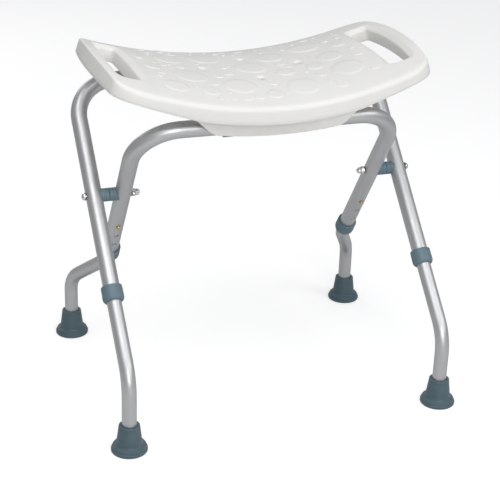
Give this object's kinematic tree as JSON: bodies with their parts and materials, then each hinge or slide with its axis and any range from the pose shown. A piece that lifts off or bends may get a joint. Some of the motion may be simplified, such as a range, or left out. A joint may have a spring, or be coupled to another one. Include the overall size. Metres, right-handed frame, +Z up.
{
  "type": "folding shower stool",
  "caption": "Folding shower stool: curved plastic seat with two handle slots on crossed aluminium U frames with telescopic rubber-tipped legs.",
  "frame": {"origin": "on the floor, under the centre of the box round the stool", "axes": "+Z up, the front of the stool (the front feet and the skirt) towards -Y, +X to the right for someone looking at its front"},
  "size_m": [0.562, 0.4458, 0.5446],
  "materials": {
    "seat": "satin moulded polyethylene",
    "aluminium": "satin anodised",
    "slate": "blue-grey moulded plastic",
    "rubber": "matt slate rubber",
    "chrome": "polished chrome plate",
    "steel": "plain stainless",
    "brass": "bright brass"
  },
  "bodies": {
    "outer_frame": {"outer_frame_tube": "aluminium", "front_left_collar": "slate", "pivot_bolt_left": "chrome", "pivot_head_washer_left": "steel", "pivot_nut_washer_left": "steel", "pivot_cap_nut_left": "chrome", "pivot_spacer_outer_left": "slate", "front_right_collar": "slate", "pivot_bolt_right": "chrome", "pivot_head_washer_right": "steel", "pivot_nut_washer_right": "steel", "pivot_cap_nut_right": "chrome", "pivot_spacer_outer_right": "slate"},
    "inner_frame": {"inner_frame_tube": "aluminium", "rear_left_collar": "slate", "pivot_spacer_inner_left": "slate", "rear_right_collar": "slate", "pivot_spacer_inner_right": "slate"},
    "seat": {"seat_shell": "seat", "rear_saddle_left": "slate", "front_clip_left": "slate", "rear_saddle_screw_left_front": "steel", "front_clip_screw_left_front": "steel", "rear_saddle_screw_left_rear": "steel", "front_clip_screw_left_rear": "steel", "rear_saddle_right": "slate", "front_clip_right": "slate", "rear_saddle_screw_right_front": "steel", "front_clip_screw_right_front": "steel", "rear_saddle_screw_right_rear": "steel", "front_clip_screw_right_rear": "steel"},
    "front_left_leg": {"front_left_leg_tube": "aluminium", "front_left_foot_tip": "rubber", "front_left_foot_washer": "steel", "front_left_button_spring": "steel"},
    "front_left_button": {"front_left_snap_button": "brass"},
    "rear_left_leg": {"rear_left_leg_tube": "aluminium", "rear_left_foot_tip": "rubber", "rear_left_foot_washer": "steel", "rear_left_button_spring": "steel"},
    "rear_left_button": {"rear_left_snap_button": "brass"},
    "front_right_leg": {"front_right_leg_tube": "aluminium", "front_right_foot_tip": "rubber", "front_right_foot_washer": "steel", "front_right_button_spring": "steel"},
    "front_right_button": {"front_right_snap_button": "brass"},
    "rear_right_leg": {"rear_right_leg_tube": "aluminium", "rear_right_foot_tip": "rubber", "rear_right_foot_washer": "steel", "rear_right_button_spring": "steel"},
    "rear_right_button": {"rear_right_snap_button": "brass"}
  },
  "joints": [
    {"name": "fold", "type": "hinge", "parent": "outer_frame", "child": "inner_frame", "pos_m": [0, 0.0145, 0.323], "axis": [-1, 0, 0], "range_deg": [0, 52]},
    {"name": "seat_tilt", "type": "hinge", "parent": "outer_frame", "child": "seat", "pos_m": [0, 0.15465, 0.46073], "axis": [-1, 0, 0], "range_deg": [0, 104]},
    {"name": "front_left_leg_slide", "type": "slide", "parent": "outer_frame", "child": "front_left_leg", "axis": [0, -0.7133, -0.7009], "range_m": [0, 0.05], "deforming": ["front_left_snap_button", "front_left_button_spring"]},
    {"name": "front_left_button_press", "type": "slide", "parent": "front_left_leg", "child": "front_left_button", "axis": [0, -0.7009, 0.7133], "range_m": [0, 0.0045], "stiffness_N_per_m": 400, "springref_m": -0.001, "deforming": ["front_left_button_spring"]},
    {"name": "rear_left_leg_slide", "type": "slide", "parent": "inner_frame", "child": "rear_left_leg", "axis": [0, 0.5534, -0.8329], "range_m": [0, 0.05], "deforming": ["rear_left_snap_button", "rear_left_button_spring"]},
    {"name": "rear_left_button_press", "type": "slide", "parent": "rear_left_leg", "child": "rear_left_button", "axis": [0, 0.8329, 0.5534], "range_m": [0, 0.0045], "stiffness_N_per_m": 400, "springref_m": -0.001, "deforming": ["rear_left_button_spring"]},
    {"name": "front_right_leg_slide", "type": "slide", "parent": "outer_frame", "child": "front_right_leg", "axis": [0, -0.7133, -0.7009], "range_m": [0, 0.05], "deforming": ["front_right_snap_button", "front_right_button_spring"]},
    {"name": "front_right_button_press", "type": "slide", "parent": "front_right_leg", "child": "front_right_button", "axis": [0, -0.7009, 0.7133], "range_m": [0, 0.0045], "stiffness_N_per_m": 400, "springref_m": -0.001, "deforming": ["front_right_button_spring"]},
    {"name": "rear_right_leg_slide", "type": "slide", "parent": "inner_frame", "child": "rear_right_leg", "axis": [0, 0.5534, -0.8329], "range_m": [0, 0.05], "deforming": ["rear_right_snap_button", "rear_right_button_spring"]},
    {"name": "rear_right_button_press", "type": "slide", "parent": "rear_right_leg", "child": "rear_right_button", "axis": [0, 0.8329, 0.5534], "range_m": [0, 0.0045], "stiffness_N_per_m": 400, "springref_m": -0.001, "deforming": ["rear_right_button_spring"]}
  ],
  "couplings": [
    {"joint": "seat_tilt", "follows": "fold", "ratio": 2}
  ]
}
